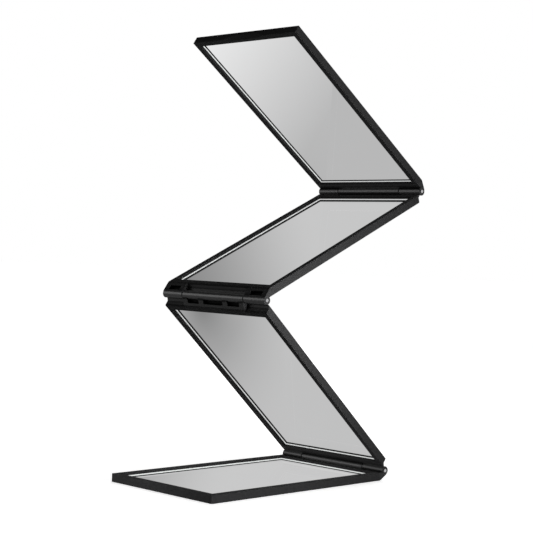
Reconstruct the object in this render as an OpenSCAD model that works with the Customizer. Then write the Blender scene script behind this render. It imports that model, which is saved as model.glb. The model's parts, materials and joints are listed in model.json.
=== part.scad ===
// A folding mirror of four equal panels, hinged end to end. It folds flat as a stack, with the
// glass of two panels face to face, or stands up as a zigzag on its base panel. Every panel is
// a one-piece moulded tray with a sheet of mirror glass taped into it, and each hinge is a long
// steel pin through one middle knuckle and two outer ones.
// The origin is the middle of the base panel's underside. X runs along the hinge pins, Y runs
// from the base panel's free end to its hinge, and Z points up.

/* [Panels] */
// Width of every panel, along the hinge pins
panel_w = 114; // [100:1:150]
// Length of every panel, at the shorter face of its hinged end
panel_l = 190; // [120:1:260]
// Thickness of every panel
panel_t = 6.6; // [5.6:0.1:8]
// Width of the rim along the sides, at a free end and at the middle hinge
rim_w = 5; // [3.4:0.1:9]
// Width of the rim at the lower and the upper hinge
hinge_rim_w = 3.8; // [3.2:0.1:8]
// How far a hinged end wall leans out, from the outer face to the face that folds in
end_lean = 1.2; // [0:0.1:1.6]
// Radius of a panel's corners, seen from the front
corner_r = 1; // [0.5:0.1:3]
// Bevel along the outer edges of a panel
edge_bevel = 0.35; // [0.1:0.05:0.8]
// Bevel along the mouth of the well that holds the glass
mouth_bevel = 0.4; // [0.1:0.05:0.8]

/* [Mirror glass] */
// Thickness of the glass
glass_t = 2; // [1:0.1:2.8]
// How deep the glass lies below the rim
glass_drop = 2; // [1:0.1:2.4]
// Gap between the glass and the wall of the well, on every side
glass_gap = 0.2; // [0.1:0.05:0.6]
// Ground bevel round the front edge of the glass
glass_bevel = 0.25; // [0.1:0.05:0.6]

/* [Mounting tape] */
// Thickness of the tape between the glass and the tray
tape_t = 0.3; // [0.1:0.05:0.6]
// Width of a strip of tape
tape_w = 18; // [8:1:26]
// Number of strips under each glass
tape_count = 3; // [2:1:3]
// Distance from the tape to the walls of the well
tape_inset = 6; // [2:0.5:10]

/* [Hinges] */
// Outer diameter of the knuckles
barrel_d = 7; // [5.6:0.1:8]
// Gap between two panels that are folded flat together
fold_gap = 2.2; // [1:0.1:3]
// Distance from a panel's end to the pin of the lower or the upper hinge
outer_reach = 6.8; // [6.2:0.1:10]
// Distance from a panel's end to the pin of the middle hinge
middle_reach = 6.4; // [6.2:0.1:10]
// Where the slope of a lower or upper knuckle starts, beyond the panel's end
outer_slope_start = 0.5; // [0:0.1:1.5]
// Length of the middle knuckle
knuckle_l = 68; // [56:1:76]
// Gap between two knuckles, along the pin
knuckle_gap = 0.4; // [0.2:0.05:1]
// Bevel round the ends of a knuckle
knuckle_bevel = 0.4; // [0.1:0.05:0.8]
// Height of the foot of a lip on the end wall, from the face that folds in
lip_root_t = 2; // [1.4:0.1:3]
// Thickness of a lip at its tip
lip_tip_t = 0.6; // [0.4:0.1:1.2]
// Gap between a lip and the knuckle that turns beside it
lip_gap = 0.5; // [0.3:0.05:0.8]

/* [Hinge pins] */
// Diameter of a pin
pin_d = 2.8; // [2:0.1:3.4]
// Clearance round a pin in the middle knuckle, on the radius
pin_clearance = 0.05; // [0.02:0.01:0.1]
// How far a pin stands out of the panel's sides
pin_out = 0.3; // [0:0.05:1]
// Bevel round the ends of a pin
pin_bevel = 0.3; // [0.1:0.05:0.6]
// Bevel round a pin's bore where it opens in the panel's sides
bore_bevel = 0.5; // [0.2:0.1:0.8]

/* [Knuckle pockets] */
// Length of a pocket down the slope
pocket_l = 6; // [3:0.1:6.8]
// How far a pocket's mouth runs onto the round of the knuckle
pocket_lead = 0.3; // [0.1:0.1:1]
// Depth of a pocket, square to the slope
pocket_depth = 3; // [1:0.1:3.2]
// Width of the middle pocket of a middle knuckle
middle_pocket_w = 22; // [12:1:30]
// Wall beside and between the pockets
pocket_wall = 5; // [3:0.1:6]
// Radius of the corners of a pocket
pocket_r = 0.8; // [0.2:0.1:1.2]

/* [Thumb scoop] */
// Width of the scoop in a free end
scoop_w = 52; // [40:1:70]
// Width of its level floor
scoop_floor_w = 20; // [10:1:30]
// Depth of the scoop in the end wall, below the rim
scoop_depth = 3.7; // [2:0.1:4.4]
// How far the scoop reaches back into the rim
scoop_setback = 2; // [1:0.1:3]

/* [Pose] */
// Opening angle of the lower hinge
lower_angle = 41; // [0:0.5:180]
// Opening angle of the middle hinge
middle_angle = 65.5; // [0:0.5:180]
// Opening angle of the upper hinge
upper_angle = 58.5; // [0:0.5:180]

/* [Hidden] */
$fn = 96;

frame_black = [0.09, 0.09, 0.10];
mirror_silver = [0.78, 0.79, 0.80];
tape_white = [0.90, 0.90, 0.86];
pin_steel = [0.86, 0.86, 0.87];

// Cuts run this far past the face that they open
overshoot = 1;
// A knuckle's web runs this far into the tray that carries it
web_root = 3;
// The slope of a web dips this far into the round of its knuckle, so that they join at an edge
web_dip = 0.02;
// Flats in each S-bend of the thumb scoop
scoop_steps = 10;

barrel_r = barrel_d / 2;
pin_r = pin_d / 2;
// Height of a pin's axis above the face that folds in
axis_rise = fold_gap / 2;
// The same axis, measured from a panel's outer face
axis_height = panel_t + axis_rise;

glass_z = panel_t - glass_drop - glass_t;
tray_floor_t = glass_z - tape_t;

well_w = panel_w - 2 * rim_w;
well_start = rim_w;
well_end = panel_l + end_lean - hinge_rim_w;
well_l = well_end - well_start;

outer_knuckle_l = (panel_w - knuckle_l) / 2 - knuckle_gap;
// Stretches of the pin that the knuckles of a hinge hold
MIDDLE_SPANS = [[-knuckle_l / 2, knuckle_l / 2]];
OUTER_SPANS = [
    [-panel_w / 2, outer_knuckle_l - panel_w / 2],
    [panel_w / 2 - outer_knuckle_l, panel_w / 2]
];

// Stretches of the pin that the pockets of a knuckle take up. A middle knuckle has three
// pockets, and an outer one has a single pocket.
side_pocket_start = middle_pocket_w / 2 + pocket_wall;
MIDDLE_POCKETS = [
    [pocket_wall - knuckle_l / 2, -side_pocket_start],
    [-middle_pocket_w / 2, middle_pocket_w / 2],
    [side_pocket_start, knuckle_l / 2 - pocket_wall]
];
OUTER_POCKETS = [for (span = OUTER_SPANS) [span[0] + pocket_wall, span[1] - pocket_wall]];

// Stretches beside the knuckles of a panel's end, where the next panel's knuckles turn
MIDDLE_LIPS = [[-panel_w / 2, -knuckle_l / 2], [knuckle_l / 2, panel_w / 2]];
OUTER_LIPS = [[-knuckle_l / 2 - knuckle_gap, knuckle_l / 2 + knuckle_gap]];

// Angle and length of the slope from a point to the round of a knuckle, on its outer side
web_r = barrel_r - web_dip;
function slope_angle(start, centre) =
    let (line = centre - start)
    atan2(line[1], line[0]) - asin(web_r / norm(line));
function slope_length(start, centre) = sqrt(pow(norm(centre - start), 2) - pow(web_r, 2));
// Where that slope touches the round
function slope_foot(start, centre) =
    let (angle = slope_angle(start, centre))
    start + slope_length(start, centre) * [cos(angle), sin(angle)];

// Draws an outline of the Y-Z plane between two places on X
module along_x(from, to) {
    translate([from, 0, 0])
        rotate([90, 0, 90])
            linear_extrude(to - from)
                children();
}

// Draws an outline of the X-Z plane between two places on Y
module along_y(from, to) {
    translate([0, to, 0])
        rotate([90, 0, 0])
            linear_extrude(to - from)
                children();
}

module rounded_rectangle(width, length, radius) {
    square([width - 2 * radius, length], center = true);
    square([width, length - 2 * radius], center = true);
    for (x = [-1, 1] * (width / 2 - radius), y = [-1, 1] * (length / 2 - radius))
        translate([x, y])
            circle(radius);
}

// How far a hinged end wall leans out at a height above the outer face
function lean_at(height) = end_lean * height / panel_t;

// The tray is drawn lying on its outer face, with Y running from its free or middle-hinge end
// at zero to its lower- or upper-hinge end. From the side, both hinged ends lean out towards
// the face that folds in, which is the glass side at the far end and the back at the near one.
module side_outline(near_lean) {
    function near_wall(z) = -near_lean * (1 - z / panel_t);
    function far_wall(z) = panel_l + lean_at(z);
    bevel = edge_bevel;
    top = panel_t;
    polygon([
        [near_wall(0) + bevel, 0],
        [far_wall(0) - bevel, 0],
        [far_wall(bevel), bevel],
        [far_wall(top - bevel), top - bevel],
        [far_wall(top) - bevel, top],
        [near_wall(top) + bevel, top],
        [near_wall(top - bevel), top - bevel],
        [near_wall(bevel), bevel]
    ]);
}

module end_outline() {
    side = panel_w / 2;
    bevel = edge_bevel;
    polygon([
        [bevel - side, 0],
        [side - bevel, 0],
        [side, bevel],
        [side, panel_t - bevel],
        [side - bevel, panel_t],
        [bevel - side, panel_t],
        [-side, panel_t - bevel],
        [-side, bevel]
    ]);
}

// A knuckle is drawn at a panel end whose outer face is at zero height. The web is flat on the
// side that folds in, and on the other side it slopes up to touch the round of the knuckle.
module web_outline(reach, slope_start) {
    start = [slope_start, 0];
    centre = [reach, axis_height];
    polygon([
        [-web_root, 0],
        start,
        slope_foot(start, centre),
        centre,
        [reach, panel_t],
        [-web_root, panel_t]
    ]);
}

// Pockets that core out the thick web, cut square to its slope
module pockets(stretches, reach, slope_start) {
    start = [slope_start, 0];
    centre = [reach, axis_height];
    foot = slope_foot(start, centre);
    for (stretch = stretches)
        translate([(stretch[0] + stretch[1]) / 2, foot[0], foot[1]])
            rotate([slope_angle(start, centre), 0, 0])
                translate([0, pocket_lead - pocket_l / 2, -overshoot])
                    linear_extrude(pocket_depth + overshoot)
                        rounded_rectangle(stretch[1] - stretch[0], pocket_l, pocket_r);
}

module webs(spans, stretches, reach, slope_start) {
    difference() {
        union() {
            for (span = spans)
                along_x(span[0], span[1])
                    web_outline(reach, slope_start);
        }
        pockets(stretches, reach, slope_start);
    }
}

// A lip closes a panel's end off against the next panel's knuckles. It is drawn as the web is,
// and its tip is hollowed out round the knuckle that turns beside it.
module lip_outline(reach) {
    foot = panel_t - lip_root_t;
    tip = panel_t - lip_tip_t;
    polygon([
        [-web_root, foot],
        [lean_at(foot), foot],
        [reach - barrel_r - lip_gap, tip],
        [reach, tip],
        [reach, panel_t],
        [-web_root, panel_t]
    ]);
}

module lips(stretches, reach) {
    difference() {
        for (stretch = stretches)
            along_x(stretch[0], stretch[1])
                lip_outline(reach);
        bore(barrel_r + lip_gap, reach);
    }
}

// The round of each knuckle, with bevelled ends
module barrels(spans, reach) {
    for (span = spans)
        translate([span[0], reach, axis_height])
            rotate([0, 90, 0])
                bevelled_rod(barrel_r, span[1] - span[0], knuckle_bevel);
}

module bevelled_rod(radius, length, bevel) {
    rotate_extrude()
        polygon([
            [0, 0],
            [radius - bevel, 0],
            [radius, bevel],
            [radius, length - bevel],
            [radius - bevel, length],
            [0, length]
        ]);
}

module bore(radius, reach) {
    translate([-panel_w / 2 - overshoot, reach, axis_height])
        rotate([0, 90, 0])
            cylinder(h = panel_w + 2 * overshoot, r = radius);
}

// A bore for a pin. Only the outer knuckles reach the panel's sides, where its mouths are bevelled.
module pin_bore(radius, reach) {
    mouth_r = radius + bore_bevel + overshoot;
    bore(radius, reach);
    for (turn = [-90, 90])
        translate([0, reach, axis_height])
            rotate([0, turn, 0])
                translate([0, 0, panel_w / 2 + overshoot - mouth_r])
                    cylinder(h = mouth_r, r1 = 0, r2 = mouth_r);
}

// The far end's knuckles stand as drawn, and those of the near end are turned over
module at_far_end() {
    translate([0, panel_l, 0])
        children();
}

module at_near_end() {
    translate([0, 0, panel_t])
        rotate([180, 0, 0])
            children();
}

// The well for the glass, with a bevelled mouth
module well() {
    mouth = panel_t - mouth_bevel;
    flare = mouth_bevel + overshoot;
    side = well_w / 2;
    translate([-side, well_start, tray_floor_t])
        cube([well_w, well_l, panel_t]);
    intersection() {
        along_y(well_start - flare, well_end + flare)
            polygon([
                [-side, mouth],
                [side, mouth],
                [side + flare, mouth + flare],
                [-side - flare, mouth + flare]
            ]);
        along_x(-side - flare, side + flare)
            polygon([
                [well_start, mouth],
                [well_end, mouth],
                [well_end + flare, mouth + flare],
                [well_start - flare, mouth + flare]
            ]);
    }
}

// The scoop is a slanted trough: a level floor, and an S-bend up to the rim at either side. Its
// outline is square to the slant, so it is shallower than the scoop is in the end wall.
module scoop_outline(depth) {
    bend_w = (scoop_w - scoop_floor_w) / 2;
    function bend_point(side, share) = [
        side * (scoop_floor_w / 2 + share * bend_w),
        -depth * (1 + cos(180 * share)) / 2
    ];
    polygon(concat(
        [[scoop_w / 2, overshoot], [-scoop_w / 2, overshoot]],
        [for (i = [0:scoop_steps]) bend_point(-1, 1 - i / scoop_steps)],
        [for (i = [0:scoop_steps]) bend_point(1, i / scoop_steps)]
    ));
}

module scoop() {
    slant = atan2(scoop_depth, scoop_setback);
    reach = panel_t + scoop_depth;
    translate([0, 0, panel_t])
        rotate([slant, 0, 0])
            along_y(-reach, reach)
                scoop_outline(scoop_depth * cos(slant));
}

// The slab of a tray, with round corners seen from the front
module slab(near_lean) {
    length = panel_l + end_lean + near_lean;
    intersection() {
        along_x(-panel_w / 2, panel_w / 2)
            side_outline(near_lean);
        along_y(-near_lean, panel_l + end_lean)
            end_outline();
        translate([0, length / 2 - near_lean])
            linear_extrude(panel_t)
                rounded_rectangle(panel_w, length, corner_r);
    }
}

// Cuts whatever is drawn at a panel's ends to the bevelled outline of its sides
module cut_to_sides() {
    intersection() {
        children();
        along_y(-middle_reach - barrel_r, panel_l + outer_reach + barrel_r)
            end_outline();
    }
}

// A tray for an end panel: a free end with a scoop, and outer knuckles at the far end
module end_tray() {
    difference() {
        union() {
            slab(0);
            cut_to_sides()
                at_far_end() {
                    webs(OUTER_SPANS, OUTER_POCKETS, outer_reach, outer_slope_start);
                    lips(OUTER_LIPS, outer_reach);
                }
            at_far_end()
                barrels(OUTER_SPANS, outer_reach);
        }
        at_far_end()
            pin_bore(pin_r, outer_reach);
        well();
        scoop();
    }
}

// A tray for a panel between two others: a middle knuckle at the far end, and at the near end
// the knuckles of the middle hinge on the panel's back
module middle_tray(near_spans, near_pockets, near_lips, near_bore_r) {
    difference() {
        union() {
            slab(end_lean);
            cut_to_sides() {
                at_far_end() {
                    webs(MIDDLE_SPANS, MIDDLE_POCKETS, outer_reach, outer_slope_start);
                    lips(MIDDLE_LIPS, outer_reach);
                }
                at_near_end() {
                    webs(near_spans, near_pockets, middle_reach, 0);
                    lips(near_lips, middle_reach);
                }
            }
            at_far_end()
                barrels(MIDDLE_SPANS, outer_reach);
            at_near_end()
                barrels(near_spans, middle_reach);
        }
        at_far_end()
            pin_bore(pin_r + pin_clearance, outer_reach);
        at_near_end()
            pin_bore(near_bore_r, middle_reach);
        well();
    }
}

// A sheet of mirror glass in a tray's well, with a ground bevel round its front
module glass() {
    side = well_w / 2 - glass_gap;
    near = well_start + glass_gap;
    far = well_end - glass_gap;
    top = glass_z + glass_t;
    intersection() {
        along_y(near, far)
            polygon([
                [-side, glass_z],
                [side, glass_z],
                [side, top - glass_bevel],
                [side - glass_bevel, top],
                [glass_bevel - side, top],
                [-side, top - glass_bevel]
            ]);
        along_x(-side, side)
            polygon([
                [near, glass_z],
                [far, glass_z],
                [far, top - glass_bevel],
                [far - glass_bevel, top],
                [near + glass_bevel, top],
                [near, top - glass_bevel]
            ]);
    }
}

// Strips of mounting tape between the tray's floor and the glass
module tape() {
    first = tape_inset - well_w / 2;
    pitch = (well_w - 2 * tape_inset - tape_w) / (tape_count - 1);
    for (i = [0:tape_count - 1])
        translate([first + i * pitch, well_start + tape_inset, tray_floor_t])
            cube([tape_w, well_l - 2 * tape_inset, tape_t]);
}

// A pin centred on its hinge, pressed into the outer knuckles
module pin() {
    length = panel_w + 2 * pin_out;
    translate([-length / 2, 0, 0])
        rotate([0, 90, 0])
            bevelled_rod(pin_r, length, pin_bevel);
}

// From one panel's tray to the next one's, across the hinge that folds the glass sides in
module across_glass_side(angle) {
    translate([0, panel_l + outer_reach, axis_height])
        rotate([-angle, 0, 0])
            translate([0, -panel_l - outer_reach, axis_height])
                rotate([0, 180, 0])
                    children();
}

// From one panel's tray to the next one's, across the hinge that folds the backs in
module across_backs(angle) {
    translate([0, -middle_reach, -axis_rise])
        rotate([-angle, 0, 0])
            translate([0, middle_reach, -axis_rise])
                rotate([0, 180, 0])
                    children();
}

module on_base() {
    translate([0, -panel_l / 2, 0])
        children();
}

module on_second() {
    on_base()
        across_glass_side(lower_angle)
            children();
}

module on_third() {
    on_second()
        across_backs(middle_angle)
            children();
}

module on_top() {
    on_third()
        across_glass_side(upper_angle)
            children();
}

module base_frame() {
    color(frame_black)
        on_base()
            end_tray();
}

module second_frame() {
    color(frame_black)
        on_second()
            middle_tray(MIDDLE_SPANS, MIDDLE_POCKETS, MIDDLE_LIPS, pin_r + pin_clearance);
}

module third_frame() {
    color(frame_black)
        on_third()
            middle_tray(OUTER_SPANS, OUTER_POCKETS, OUTER_LIPS, pin_r);
}

module top_frame() {
    color(frame_black)
        on_top()
            end_tray();
}

module base_mirror() {
    color(mirror_silver)
        on_base()
            glass();
}

module second_mirror() {
    color(mirror_silver)
        on_second()
            glass();
}

module third_mirror() {
    color(mirror_silver)
        on_third()
            glass();
}

module top_mirror() {
    color(mirror_silver)
        on_top()
            glass();
}

module base_tape() {
    color(tape_white)
        on_base()
            tape();
}

module second_tape() {
    color(tape_white)
        on_second()
            tape();
}

module third_tape() {
    color(tape_white)
        on_third()
            tape();
}

module top_tape() {
    color(tape_white)
        on_top()
            tape();
}

module lower_hinge_pin() {
    color(pin_steel)
        on_base()
            translate([0, panel_l + outer_reach, axis_height])
                pin();
}

module middle_hinge_pin() {
    color(pin_steel)
        on_third()
            translate([0, -middle_reach, -axis_rise])
                pin();
}

module upper_hinge_pin() {
    color(pin_steel)
        on_top()
            translate([0, panel_l + outer_reach, axis_height])
                pin();
}

base_frame();
second_frame();
third_frame();
top_frame();
base_mirror();
second_mirror();
third_mirror();
top_mirror();
base_tape();
second_tape();
third_tape();
top_tape();
lower_hinge_pin();
middle_hinge_pin();
upper_hinge_pin();
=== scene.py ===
import json
import math
import bmesh
import bpy
from mathutils import Matrix, Vector


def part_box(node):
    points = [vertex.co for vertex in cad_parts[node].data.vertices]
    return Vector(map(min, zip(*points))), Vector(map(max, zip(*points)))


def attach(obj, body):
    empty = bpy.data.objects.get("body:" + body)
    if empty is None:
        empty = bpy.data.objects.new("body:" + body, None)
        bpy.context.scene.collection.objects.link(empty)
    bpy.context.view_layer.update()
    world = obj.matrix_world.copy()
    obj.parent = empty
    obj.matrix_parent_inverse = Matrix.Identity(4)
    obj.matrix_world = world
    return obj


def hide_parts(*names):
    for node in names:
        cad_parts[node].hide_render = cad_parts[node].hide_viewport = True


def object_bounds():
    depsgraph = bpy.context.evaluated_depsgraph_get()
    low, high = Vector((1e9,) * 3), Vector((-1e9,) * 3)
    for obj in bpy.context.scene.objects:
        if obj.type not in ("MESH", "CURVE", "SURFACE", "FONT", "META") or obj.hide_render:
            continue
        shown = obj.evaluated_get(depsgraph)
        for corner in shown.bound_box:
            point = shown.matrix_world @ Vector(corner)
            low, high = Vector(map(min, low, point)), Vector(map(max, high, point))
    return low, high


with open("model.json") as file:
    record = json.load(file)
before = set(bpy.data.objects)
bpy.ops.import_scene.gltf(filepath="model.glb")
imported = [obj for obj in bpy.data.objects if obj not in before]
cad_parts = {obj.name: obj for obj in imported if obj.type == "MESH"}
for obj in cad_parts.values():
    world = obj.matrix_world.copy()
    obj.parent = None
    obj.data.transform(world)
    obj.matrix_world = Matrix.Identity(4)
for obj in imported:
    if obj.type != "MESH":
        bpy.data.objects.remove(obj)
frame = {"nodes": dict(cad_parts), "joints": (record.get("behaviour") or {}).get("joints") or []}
cadLow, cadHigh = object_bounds()
mm = 0.001
panels = ["base", "second", "third", "top"]
hinges = ["lower", "middle", "upper"]
print("loaded the frame with", len(frame["nodes"]), "nodes")


# The camera stands off the corner of the pin ends and the free end, a little above the middle hinge
cameraSettings = {
    "place": (0.7792, -0.7897, 0.1833),
    "yaw": 44.241,  # degrees, to the left of +Y
    "pitch": -0.570,
    "roll": 2.288,
    "focalPixels": 1388.3,  # focal length in pixels of the photograph
    "framePixels": 533,
    "sensor": 36.0,
}


def makeCamera(settings):
    yaw, pitch, roll = (math.radians(settings[key]) for key in ("yaw", "pitch", "roll"))
    forward = Vector((-math.sin(yaw) * math.cos(pitch), math.cos(yaw) * math.cos(pitch), math.sin(pitch)))
    level = Vector((math.cos(yaw), math.sin(yaw), 0.0))
    upright = level.cross(forward)
    right = level * math.cos(roll) + upright * math.sin(roll)
    up = upright * math.cos(roll) - level * math.sin(roll)
    data = bpy.data.cameras.new("photoCamera")
    data.sensor_width = settings["sensor"]
    data.lens = settings["focalPixels"] * settings["sensor"] / settings["framePixels"]
    camera = bpy.data.objects.new("photoCamera", data)
    bpy.context.scene.collection.objects.link(camera)
    turn = Matrix((right, up, -forward)).transposed().to_4x4()
    camera.matrix_world = Matrix.Translation(settings["place"]) @ turn
    bpy.context.scene.camera = camera


makeCamera(cameraSettings)
print("camera placed")


black = (0.0, 0.0, 0.0)
white = (1.0, 1.0, 1.0)


# Helpers for node trees
def addNode(tree, kind, inputs=None, **settings):
    node = tree.nodes.new(kind)
    for name, value in settings.items():
        setattr(node, name, value)
    for name, value in (inputs or {}).items():
        node.inputs[name].default_value = value
    return node


def addMath(tree, operation, first, second, clamp=False):
    node = addNode(tree, "ShaderNodeMath", operation=operation, use_clamp=clamp)
    for socket, value in ((0, first), (1, second)):
        if isinstance(value, (int, float)):
            node.inputs[socket].default_value = value
        else:
            tree.links.new(value, node.inputs[socket])
    return node.outputs[0]


def addVectorMath(tree, operation, vector, constant=(0.0, 0.0, 0.0), output="Value"):
    node = addNode(tree, "ShaderNodeVectorMath", {1: constant}, operation=operation)
    tree.links.new(vector, node.inputs[0])
    return node.outputs[output]


def addFade(tree, value, start, end, first=0.0, second=1.0):
    ends = {"From Min": start, "From Max": end, "To Min": first, "To Max": second}
    fade = addNode(tree, "ShaderNodeMapRange", ends, interpolation_type="SMOOTHSTEP")
    tree.links.new(value, fade.inputs["Value"])
    return fade.outputs["Result"]


def addColourMix(tree, factor, first, second):
    mix = addNode(tree, "ShaderNodeMix", data_type="RGBA")
    tree.links.new(factor, mix.inputs["Factor"])
    for socket, colour in (("A", first), ("B", second)):
        if isinstance(colour, tuple):
            mix.inputs[socket].default_value = (*colour, 1.0)
        else:
            tree.links.new(colour, mix.inputs[socket])
    return mix.outputs["Result"]


def addFloatSockets(group, inputs, outputs):
    for name, value in inputs.items():
        socket = group.interface.new_socket(name, in_out="INPUT", socket_type="NodeSocketFloat")
        socket.default_value = value
    for name in outputs:
        group.interface.new_socket(name, in_out="OUTPUT", socket_type="NodeSocketFloat")


def newMaterial(name, **shaderInputs):
    material = bpy.data.materials.new(name)
    material.use_nodes = True
    shader = material.node_tree.nodes["Principled BSDF"]
    for key, value in shaderInputs.items():
        shader.inputs[key].default_value = value
    return material, material.node_tree, shader


# Fine moulded grain and slow changes of colour and gloss, for every surface
surfaceGrain = {
    "inputs": {"Grain Size": 0.4 * mm, "Patch Size": 30 * mm, "Roughness": 0.4, "Gloss Change": 0.05},
    "grainDetail": 2.0,
    "patchDetail": 3.0,
    "patchMiddle": 0.5,  # the noise swings about this value
}


def makeGrainGroup(settings):
    group = bpy.data.node_groups.new("surfaceGrain", "ShaderNodeTree")
    addFloatSockets(group, settings["inputs"], ("Roughness", "Height", "Patches"))
    given = addNode(group, "NodeGroupInput")
    result = addNode(group, "NodeGroupOutput")
    coords = addNode(group, "ShaderNodeTexCoord")
    link = group.links.new

    def noiseOf(size, detail):
        noise = addNode(group, "ShaderNodeTexNoise", {"Detail": detail})
        link(coords.outputs["Object"], noise.inputs["Vector"])
        link(addMath(group, "DIVIDE", 1.0, given.outputs[size]), noise.inputs["Scale"])
        return noise.outputs["Fac"]

    patches = noiseOf("Patch Size", settings["patchDetail"])
    swing = addMath(group, "SUBTRACT", patches, settings["patchMiddle"])
    change = addMath(group, "MULTIPLY", swing, given.outputs["Gloss Change"])
    link(addMath(group, "ADD", change, given.outputs["Roughness"]), result.inputs["Roughness"])
    link(noiseOf("Grain Size", settings["grainDetail"]), result.inputs["Height"])
    link(patches, result.inputs["Patches"])
    return group


grainGroup = makeGrainGroup(surfaceGrain)


def addGrain(tree, shader, settings):
    grain = addNode(tree, "ShaderNodeGroup", node_tree=grainGroup)
    grain.inputs["Patch Size"].default_value = settings["patchSize"]
    grain.inputs["Roughness"].default_value = settings["roughness"]
    grain.inputs["Gloss Change"].default_value = settings["glossChange"]
    tree.links.new(grain.outputs["Roughness"], shader.inputs["Roughness"])
    return grain


def addGrainBump(tree, shader, grain, settings):
    grain.inputs["Grain Size"].default_value = settings["grainSize"]
    height = {"Strength": settings["bump"], "Distance": settings["grainSize"]}
    bump = addNode(tree, "ShaderNodeBump", height)
    tree.links.new(grain.outputs["Height"], bump.inputs["Height"])
    tree.links.new(bump.outputs["Normal"], shader.inputs["Normal"])


# A mirror shows what lies close to it, and beyond that only a painted reflection of the plain backdrop, as
# in the photo: what a glossy ray meets past the reach glows in a painted backdrop tone. The reach is the
# way of a ray from the mirror to what it meets.
paintedFarReflection = {
    "startsAt": 8.6 * mm,
    "fullAt": 9.2 * mm,
    "tones": (0.565, 0.60, 0.515, 0.60),  # in place of the base, second, third and top panel
}


# The painted backdrop tone that glows where a panel would show in a reflection. Object coordinates are
# those of the rest pose, in which the hinges part the panels by height.
def makePaintedBackdropGroup(tones):
    group = bpy.data.node_groups.new("paintedBackdropTone", "ShaderNodeTree")
    addFloatSockets(group, {}, ("Tone",))
    result = addNode(group, "NodeGroupOutput")
    coords = addNode(group, "ShaderNodeTexCoord")
    parts = addNode(group, "ShaderNodeSeparateXYZ")
    group.links.new(coords.outputs["Object"], parts.inputs[0])
    tone = tones[0]
    for joint, below, above in zip(frame["joints"], tones, tones[1:]):
        higher = addMath(group, "GREATER_THAN", parts.outputs["Z"], joint["pos_m"][2])
        tone = addMath(group, "ADD", addMath(group, "MULTIPLY", higher, above - below), tone)
    group.links.new(tone, result.inputs["Tone"])
    return group


paintedBackdropGroup = makePaintedBackdropGroup(paintedFarReflection["tones"])


# Painted reflection: seen by a glossy ray from past the reach, a surface turns black and glows in the
# painted backdrop tone; otherwise it glows by the given glow
def addPaintedFarReflection(tree, shader, colour, glow=0.0):
    path = addNode(tree, "ShaderNodeLightPath")
    reach = addFade(tree, path.outputs["Ray Length"], paintedFarReflection["startsAt"], paintedFarReflection["fullAt"])
    far = addMath(tree, "MULTIPLY", path.outputs["Is Glossy Ray"], reach)
    backdrop = addNode(tree, "ShaderNodeGroup", node_tree=paintedBackdropGroup)
    tree.links.new(addColourMix(tree, far, colour, black), shader.inputs["Base Color"])
    change = addMath(tree, "MULTIPLY", far, addMath(tree, "SUBTRACT", backdrop.outputs["Tone"], glow))
    tree.links.new(addMath(tree, "ADD", change, glow), shader.inputs["Emission Color"])
    shader.inputs["Emission Strength"].default_value = 1.0


def addPatchColour(tree, shader, grain, settings):
    colour = addColourMix(tree, grain.outputs["Patches"], settings["dark"], settings["light"])
    addPaintedFarReflection(tree, shader, colour, settings.get("glow", 0.0))


def makeGrainedMaterial(name, settings, **shaderInputs):
    material, tree, shader = newMaterial(name, **shaderInputs)
    grain = addGrain(tree, shader, settings)
    addGrainBump(tree, shader, grain, settings)
    addPatchColour(tree, shader, grain, settings)
    return material


# Gloss by the distance from the nearest pin: the knuckles' rounds are smooth, the coves round them
# dull, and the panels' ends between
knuckleGloss = {
    "Round": 3.6 * mm,  # the rounds reach to here
    "Cove": 4.4 * mm,  # the coves reach to here
    "End": 8.5 * mm,  # the panels' ends reach to here
    "End Gloss": 0.5,
}


def makeKnuckleGroup(inputs):
    group = bpy.data.node_groups.new("knuckleGloss", "ShaderNodeTree")
    addFloatSockets(group, inputs, ("Gloss",))
    given = addNode(group, "NodeGroupInput")
    result = addNode(group, "NodeGroupOutput")
    coords = addNode(group, "ShaderNodeTexCoord")
    distances = []
    for joint in frame["joints"]:
        offset = addVectorMath(group, "SUBTRACT", coords.outputs["Object"], joint["pos_m"], "Vector")
        across = addVectorMath(group, "MULTIPLY", offset, (0.0, 1.0, 1.0), "Vector")  # the pins lie along X
        distances.append(addVectorMath(group, "LENGTH", across))
    nearest = distances[0]
    for distance in distances[1:]:
        nearest = addMath(group, "MINIMUM", nearest, distance)
    roundMask = addMath(group, "LESS_THAN", nearest, given.outputs["Round"])
    pastCove = addMath(group, "GREATER_THAN", nearest, given.outputs["Cove"])
    beforeEnd = addMath(group, "LESS_THAN", nearest, given.outputs["End"])
    endMask = addMath(group, "MULTIPLY", pastCove, beforeEnd)
    endGloss = addMath(group, "MULTIPLY", endMask, given.outputs["End Gloss"])
    group.links.new(addMath(group, "ADD", roundMask, endGloss), result.inputs["Gloss"])
    return group


framePlastic = {
    "dark": (0.010, 0.010, 0.0103),
    "light": (0.032, 0.032, 0.0325),
    "shine": 0.004,  # the textured rims and walls hardly shine
    "roughness": 0.45,
    "glossChange": 0.08,
    "grainSize": 0.7 * mm,
    "patchSize": 1.2 * mm,
    "bump": 0.2,
    "knuckleShine": 0.4,
    "backShine": 0.35,
    "backFrom": 0.25,  # least Y of a normal on the standing panels' backs
    "smoothRoughness": 0.38,  # of the knuckles, the panels' ends and the backs
    "paintedShadeReach": 5 * mm,  # how far off a wall the painted shade still darkens a recess
    "paintedShadePower": 1.6,
}


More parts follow.
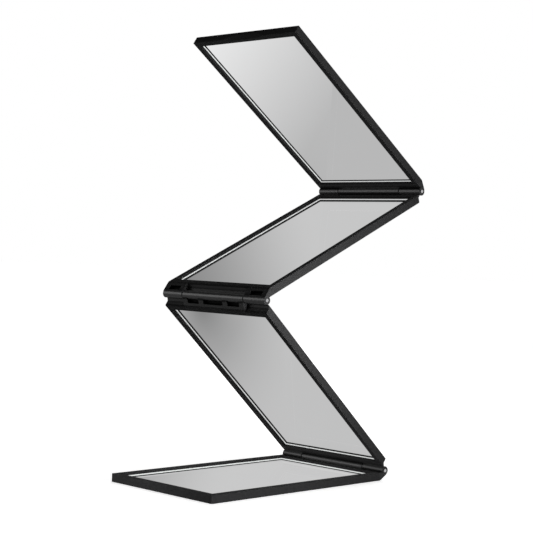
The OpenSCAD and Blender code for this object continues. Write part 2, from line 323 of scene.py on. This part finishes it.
def makeFramePlastic(settings):
    material, tree, shader = newMaterial("satinBlackPlastic")
    shader.inputs["Specular IOR Level"].default_value = settings["shine"]
    shader.inputs["Coat Roughness"].default_value = settings["smoothRoughness"]
    grain = addGrain(tree, shader, settings)
    addGrainBump(tree, shader, grain, settings)
    # Painted shade: ambient occlusion darkens the colour, and lessens the coat, in recesses and near walls
    reach = {"Distance": settings["paintedShadeReach"]}
    recess = addNode(tree, "ShaderNodeAmbientOcclusion", reach, only_local=True)
    paintedShadeFactor = addMath(tree, "POWER", recess.outputs["AO"], settings["paintedShadePower"])
    plain = addColourMix(tree, grain.outputs["Patches"], settings["dark"], settings["light"])
    addPaintedFarReflection(tree, shader, addColourMix(tree, paintedShadeFactor, black, plain))
    knuckle = addNode(tree, "ShaderNodeGroup", node_tree=makeKnuckleGroup(knuckleGloss))
    knuckleShine = addMath(tree, "MULTIPLY", knuckle.outputs["Gloss"], settings["knuckleShine"])
    coords = addNode(tree, "ShaderNodeTexCoord")
    facing = addNode(tree, "ShaderNodeSeparateXYZ")
    tree.links.new(coords.outputs["Normal"], facing.inputs[0])
    back = addMath(tree, "GREATER_THAN", facing.outputs["Y"], settings["backFrom"])
    backShine = addMath(tree, "MULTIPLY", back, settings["backShine"])
    smooth = addMath(tree, "MAXIMUM", knuckleShine, backShine)
    tree.links.new(addMath(tree, "MULTIPLY", smooth, paintedShadeFactor), shader.inputs["Coat Weight"])
    return material


mirrorSilver = {
    "dark": (0.92, 0.922, 0.925),
    "light": (0.935, 0.937, 0.94),
    "roughness": 0.03,
    "glossChange": 0.02,
    "patchSize": 50 * mm,
}


# Smooth, so it takes the slow changes of gloss without the grain's bump
def makeMirrorSilver(settings):
    material, tree, shader = newMaterial("mirrorSilver", Metallic=1.0)
    grain = addGrain(tree, shader, settings)
    addPatchColour(tree, shader, grain, settings)
    return material


groundGlass = {
    "dark": (0.20, 0.22, 0.21),
    "light": (0.28, 0.30, 0.29),
    "glow": 0.5,  # painted glow, in place of light that the glass leads to its edge
    "roughness": 0.5,
    "glossChange": 0.1,
    "grainSize": 0.2 * mm,
    "patchSize": 10 * mm,
    "bump": 0.2,
}

backingPaint = {
    "dark": (0.10, 0.11, 0.12),
    "light": (0.13, 0.14, 0.15),
    "roughness": 0.6,
    "glossChange": 0.05,
    "grainSize": 0.6 * mm,
    "patchSize": 20 * mm,
    "bump": 0.1,
}

foamTape = {
    "dark": (0.78, 0.77, 0.70),
    "light": (0.86, 0.85, 0.80),
    "roughness": 0.8,
    "glossChange": 0.1,
    "grainSize": 0.5 * mm,
    "patchSize": 10 * mm,
    "bump": 0.4,
}

pinSteel = {
    "dark": (0.74, 0.74, 0.75),
    "light": (0.88, 0.88, 0.89),
    "roughness": 0.28,
    "glossChange": 0.1,
    "grainSize": 0.3 * mm,
    "patchSize": 2 * mm,
    "bump": 0.1,
}

materials = {
    "plastic": makeFramePlastic(framePlastic),
    "silver": makeMirrorSilver(mirrorSilver),
    "ground": makeGrainedMaterial("groundGlassEdge", groundGlass),
    "paint": makeGrainedMaterial("mirrorBackPaint", backingPaint),
    "tape": makeGrainedMaterial("foamTape", foamTape),
    "steel": makeGrainedMaterial("brightPinSteel", pinSteel, Metallic=1.0),
}
print("materials made:", len(materials))


# Trays, tape and pins keep their solids and get their finish
def dressNode(name, material):
    mesh = frame["nodes"][name].data
    mesh.materials.clear()
    mesh.materials.append(material)


for panel in panels:
    dressNode(panel + "_frame", materials["plastic"])
    dressNode(panel + "_tape", materials["tape"])
for hinge in hinges:
    dressNode(hinge + "_hinge_pin", materials["steel"])
print("trays, tape and pins dressed")


# The glass is clear down to its silvering, so the silvered face shows below the ground edge
mirrorGlass = {
    "edgeHeight": 0.46 * mm,  # how tall the ground edge looks through the glass
    "edgeWidth": 0.25 * mm,
    "slot": "mirror_glass",
    "mergeWithin": 0.001 * mm,  # corners of the CAD glass that are one point
    "flatWithin": 1.0,  # degrees between triangles of the CAD glass that are one face
}


# Where a panel's glass lies: the middle of its back, which is its largest face, its axes and its size
def glassPlace(nodeName, settings):
    low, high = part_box(nodeName)
    work = bmesh.new()
    work.from_mesh(frame["nodes"][nodeName].data)
    bmesh.ops.remove_doubles(work, verts=work.verts, dist=settings["mergeWithin"])
    flat = math.radians(settings["flatWithin"])
    bmesh.ops.dissolve_limit(work, angle_limit=flat, verts=work.verts, edges=work.edges)
    faces = sorted(work.faces, key=lambda face: face.calc_area())
    back, front = faces[-1], faces[-2]
    normal = front.normal.copy()
    middle = back.calc_center_median()
    thickness = (front.calc_center_median() - middle).dot(normal)
    right = Vector((1.0, 0.0, 0.0))
    along = normal.cross(right)
    length = 2 * max((vert.co - middle).dot(along) for vert in back.verts)
    work.free()
    turn = Matrix((right, along, normal)).transposed().to_4x4()
    matrix = Matrix.Translation(middle) @ turn
    return {"matrix": matrix, "width": (high - low).x, "length": length, "thickness": thickness}


# The ground edge follows the outline of the glass
def makeEdgeTree():
    tree = bpy.data.node_groups.new("groundEdge", "GeometryNodeTree")
    face = tree.interface
    face.new_socket("Geometry", in_out="INPUT", socket_type="NodeSocketGeometry")
    for name in ("Width", "Length", "Height", "Thickness"):
        face.new_socket(name, in_out="INPUT", socket_type="NodeSocketFloat")
    face.new_socket("Material", in_out="INPUT", socket_type="NodeSocketMaterial")
    face.new_socket("Geometry", in_out="OUTPUT", socket_type="NodeSocketGeometry")
    given = addNode(tree, "NodeGroupInput").outputs
    result = addNode(tree, "NodeGroupOutput")
    link = tree.links.new

    path = addNode(tree, "GeometryNodeCurvePrimitiveQuadrilateral", mode="RECTANGLE")
    link(addMath(tree, "SUBTRACT", given["Width"], given["Thickness"]), path.inputs["Width"])
    link(addMath(tree, "SUBTRACT", given["Length"], given["Thickness"]), path.inputs["Height"])
    profile = addNode(tree, "GeometryNodeCurvePrimitiveQuadrilateral", mode="RECTANGLE")
    link(given["Thickness"], profile.inputs["Width"])
    link(given["Height"], profile.inputs["Height"])
    sweep = addNode(tree, "GeometryNodeCurveToMesh")
    link(path.outputs["Curve"], sweep.inputs["Curve"])
    link(profile.outputs["Curve"], sweep.inputs["Profile Curve"])
    flat = addNode(tree, "GeometryNodeSetShadeSmooth", {"Shade Smooth": False})
    link(sweep.outputs["Mesh"], flat.inputs["Geometry"])
    real = addNode(tree, "GeometryNodeRealizeInstances")
    link(flat.outputs["Geometry"], real.inputs["Geometry"])
    paint = addNode(tree, "GeometryNodeSetMaterial")
    link(real.outputs["Geometry"], paint.inputs["Geometry"])
    link(given["Material"], paint.inputs["Material"])
    link(paint.outputs["Geometry"], result.inputs["Geometry"])
    return tree


edgeTree = makeEdgeTree()


def runTree(tree, values):
    carrier = bpy.data.objects.new("carrier", bpy.data.meshes.new("carrier"))
    bpy.context.scene.collection.objects.link(carrier)
    modifier = carrier.modifiers.new("shape", "NODES")
    modifier.node_group = tree
    for item in tree.interface.items_tree:
        if item.in_out == "INPUT" and item.name in values:
            modifier[item.identifier] = values[item.name]
    evaluated = carrier.evaluated_get(bpy.context.evaluated_depsgraph_get())
    mesh = bpy.data.meshes.new_from_object(evaluated)
    carrier.modifiers.remove(modifier)
    bpy.data.objects.remove(carrier)
    return mesh


def placePiece(name, mesh, matrix, body):
    mesh.transform(matrix)
    mesh.name = name
    piece = bpy.data.objects.new(name, mesh)
    bpy.context.scene.collection.objects.link(piece)
    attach(piece, body)
    return piece


# A sheet on its back face, silvered in front and painted on its back and edges
def makeSilverMesh(place, settings):
    work = bmesh.new()
    depth = place["thickness"] - settings["edgeHeight"]
    stretch = Matrix.Diagonal((place["width"], place["length"], depth, 1.0))
    bmesh.ops.create_cube(work, size=1.0, matrix=stretch @ Matrix.Translation((0.0, 0.0, 0.5)))
    mesh = bpy.data.meshes.new("silver")
    front = max(work.faces, key=lambda face: face.calc_center_median().z)
    for face in work.faces:
        face.material_index = 0 if face is front else 1
    work.to_mesh(mesh)
    work.free()
    mesh.materials.append(materials["silver"])
    mesh.materials.append(materials["paint"])
    return mesh


def makeMirror(panel, settings):
    node, body = panel + "_mirror", panel + "_panel"
    place = glassPlace(node, settings)
    sheet = makeSilverMesh(place, settings)
    silver = placePiece(panel + "_silvered_glass", sheet, place["matrix"], body)
    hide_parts(node)
    edge = runTree(edgeTree, {
        "Width": place["width"],
        "Length": place["length"],
        "Height": settings["edgeHeight"],
        "Thickness": settings["edgeWidth"],
        "Material": materials["ground"],
    })
    rise = Matrix.Translation((0, 0, place["thickness"] - settings["edgeHeight"] / 2))
    placePiece(panel + "_ground_edge", edge, place["matrix"] @ rise, body)


for panel in panels:
    makeMirror(panel, mirrorGlass)
print("mirrors made:", len(panels))


# A plain pale floor, white to the camera. The mirrors see it glow in soft greys: a painted shadow of the
# panels, and painted light towards the open side, on the camera's left.
floorSettings = {
    "radius": 12.0,
    "sides": 64,
    "gap": 0.2 * mm,  # below the object
    "colour": (0.80, 0.80, 0.80),
    "glow": 0.84,  # light that only the camera sees
    "shadowGlow": 0.65,  # less of it by the object, so that its contact shadow shows
    "shadowUntil": 0.12,  # metres from the origin
    "glowFrom": 0.20,
    "tone": 0.596,  # what a mirror sees at the origin
    "toneLeast": 0.5,
    "toneChange": (0.148, -0.256, 0.0),  # per metre
    "openSide": (-0.696, -0.718, 0.0),
    "openFrom": 0.083,
    "openChange": 1.96,  # per metre
    "openMost": 0.4,
    "shadeMiddle": (-0.168, -0.017, 0.0),
    "shadeRadius": 0.145,
    "shadeDepth": 0.66,
    "shadePower": 2.0,
}


# What a mirror sees of the floor, by place: a painted glow with a painted shadow and painted light
def addFloorTone(tree, point, settings):
    opening = addVectorMath(tree, "DOT_PRODUCT", point, settings["openSide"])
    opening = addMath(tree, "MAXIMUM", addMath(tree, "SUBTRACT", opening, settings["openFrom"]), 0.0)
    lift = addMath(tree, "MULTIPLY", opening, settings["openChange"])
    lift = addMath(tree, "MINIMUM", lift, settings["openMost"])
    slope = addVectorMath(tree, "DOT_PRODUCT", point, settings["toneChange"])
    slope = addMath(tree, "ADD", slope, settings["tone"])
    slope = addMath(tree, "MINIMUM", slope, settings["tone"])
    slope = addMath(tree, "MAXIMUM", slope, settings["toneLeast"])
    away = addVectorMath(tree, "DISTANCE", point, settings["shadeMiddle"])
    inward = addMath(tree, "DIVIDE", away, settings["shadeRadius"])
    inward = addMath(tree, "SUBTRACT", 1.0, inward, clamp=True)
    shade = addMath(tree, "POWER", inward, settings["shadePower"])
    unshaded = addMath(tree, "SUBTRACT", 1.0, addMath(tree, "MULTIPLY", shade, settings["shadeDepth"]))
    return addMath(tree, "MULTIPLY", addMath(tree, "ADD", slope, lift), unshaded)


def makeFloor(settings):
    work = bmesh.new()
    bmesh.ops.create_circle(work, cap_ends=True, radius=settings["radius"], segments=settings["sides"])
    bmesh.ops.translate(work, verts=work.verts, vec=(0.0, 0.0, cadLow.z - settings["gap"]))
    mesh = bpy.data.meshes.new("floor")
    work.to_mesh(mesh)
    work.free()
    floor = bpy.data.objects.new("floor", mesh)
    bpy.context.scene.collection.objects.link(floor)
    material, tree, shader = newMaterial("paleFloor", Roughness=1.0)
    shader.inputs["Specular IOR Level"].default_value = 0.0
    shader.inputs["Emission Color"].default_value = (*white, 1.0)
    path = addNode(tree, "ShaderNodeLightPath").outputs
    point = addNode(tree, "ShaderNodeTexCoord").outputs["Object"]
    colour = addColourMix(tree, path["Is Glossy Ray"], settings["colour"], black)
    tree.links.new(colour, shader.inputs["Base Color"])
    away = addVectorMath(tree, "LENGTH", point)
    least, most = settings["shadowGlow"], settings["glow"]
    glow = addFade(tree, away, settings["shadowUntil"], settings["glowFrom"], least, most)
    glow = addMath(tree, "MULTIPLY", path["Is Camera Ray"], glow)
    tone = addMath(tree, "MULTIPLY", path["Is Glossy Ray"], addFloorTone(tree, point, settings))
    tree.links.new(addMath(tree, "ADD", glow, tone), shader.inputs["Emission Strength"])
    mesh.materials.append(material)


makeFloor(floorSettings)

# The backdrop is white to the camera. Glossy rays see it dark on the photo's left and low down, and
# pale on its right.
worldSettings = {
    "lightLevel": 0.22,  # of the light that it gives
    "darkSide": (-0.695, -0.719, -0.304),
    "pale": 0.605,
    "grey": 0.265,
    "dark": 0.07,
    "paleUntil": -0.06,  # how far towards the dark side, from -1 to 1
    "greyFrom": 0.06,
    "darkFrom": 0.35,
}


def makeWorld(settings):
    world = bpy.data.worlds.new("plainStudio")
    world.use_nodes = True
    tree = world.node_tree
    background = tree.nodes["Background"]
    background.inputs["Color"].default_value = (*white, 1.0)
    coords = addNode(tree, "ShaderNodeTexCoord")
    side = addVectorMath(tree, "DOT_PRODUCT", coords.outputs["Generated"], settings["darkSide"])
    pale, grey, dark = settings["pale"], settings["grey"], settings["dark"]
    near = addFade(tree, side, settings["paleUntil"], settings["greyFrom"], pale, grey)
    change = addFade(tree, side, settings["greyFrom"], settings["darkFrom"], 0.0, dark - grey)
    path = addNode(tree, "ShaderNodeLightPath")
    seen = addNode(tree, "ShaderNodeMix", data_type="FLOAT")
    lit = addMath(tree, "MAXIMUM", path.outputs["Is Camera Ray"], settings["lightLevel"])
    tree.links.new(path.outputs["Is Glossy Ray"], seen.inputs["Factor"])
    tree.links.new(lit, seen.inputs["A"])
    tree.links.new(addMath(tree, "ADD", near, change), seen.inputs["B"])
    tree.links.new(seen.outputs["Result"], background.inputs["Strength"])
    bpy.context.scene.world = world


makeWorld(worldSettings)

# Square area lamps that the camera never sees. Each gives either plain light or only gloss.
lamps = {
    "sideSpot": {  # on the side walls with the pin ends
        "place": (1.0, -0.05, 0.16),
        "aim": (0.0, -0.05, 0.16),
        "size": 0.1,
        "spread": 34,  # degrees
        "watts": 0.75,
        "seen": "diffuse",
    },
    "rightSoftbox": {
        "place": (1.4, 0.3, 0.5),
        "aim": (0.0, 0.1, 0.15),
        "size": 0.9,
        "spread": 180,
        "watts": 2.5,
        "seen": "diffuse",
    },
    "frontSpot": {  # on the base panel's free end
        "place": (-0.05, -1.0, 0.05),
        "aim": (-0.02, -0.095, 0.0),
        "size": 0.05,
        "spread": 16,
        "watts": 0.06,
        "seen": "diffuse",
    },
    "backSoftbox": {
        "place": (-0.6, 1.4, 0.9),
        "aim": (0.0, 0.0, 0.15),
        "size": 0.8,
        "spread": 180,
        "watts": 12.0,
        "seen": "diffuse",
    },
    "knuckleSoftbox": {  # the line of gloss along the knuckles
        "place": (-1.05, -1.05, 0.46),
        "aim": (0.0, -0.05, 0.15),
        "size": 0.8,
        "spread": 180,
        "watts": 14.0,
        "seen": "gloss",
    },
}


def makeLamp(name, settings):
    data = bpy.data.lights.new(name, "AREA")
    data.size = settings["size"]
    data.energy = settings["watts"]
    data.spread = math.radians(settings["spread"])
    lamp = bpy.data.objects.new(name, data)
    lamp.location = settings["place"]
    aim = Vector(settings["aim"]) - lamp.location
    lamp.rotation_euler = aim.to_track_quat("-Z", "Y").to_euler()
    lamp.visible_camera = False
    lamp.visible_glossy = settings["seen"] == "gloss"
    lamp.visible_diffuse = settings["seen"] == "diffuse"
    bpy.context.scene.collection.objects.link(lamp)
    if settings["seen"] == "gloss":  # it lights only the trays, so that no mirror shows it
        lit = bpy.data.collections.new(name + "Lit")
        for panel in panels:
            lit.objects.link(frame["nodes"][panel + "_frame"])
        lamp.light_linking.receiver_collection = lit


for name, settings in lamps.items():
    makeLamp(name, settings)
bpy.context.scene.view_settings.view_transform = "Standard"
print("floor, world and", len(lamps), "lamps made")
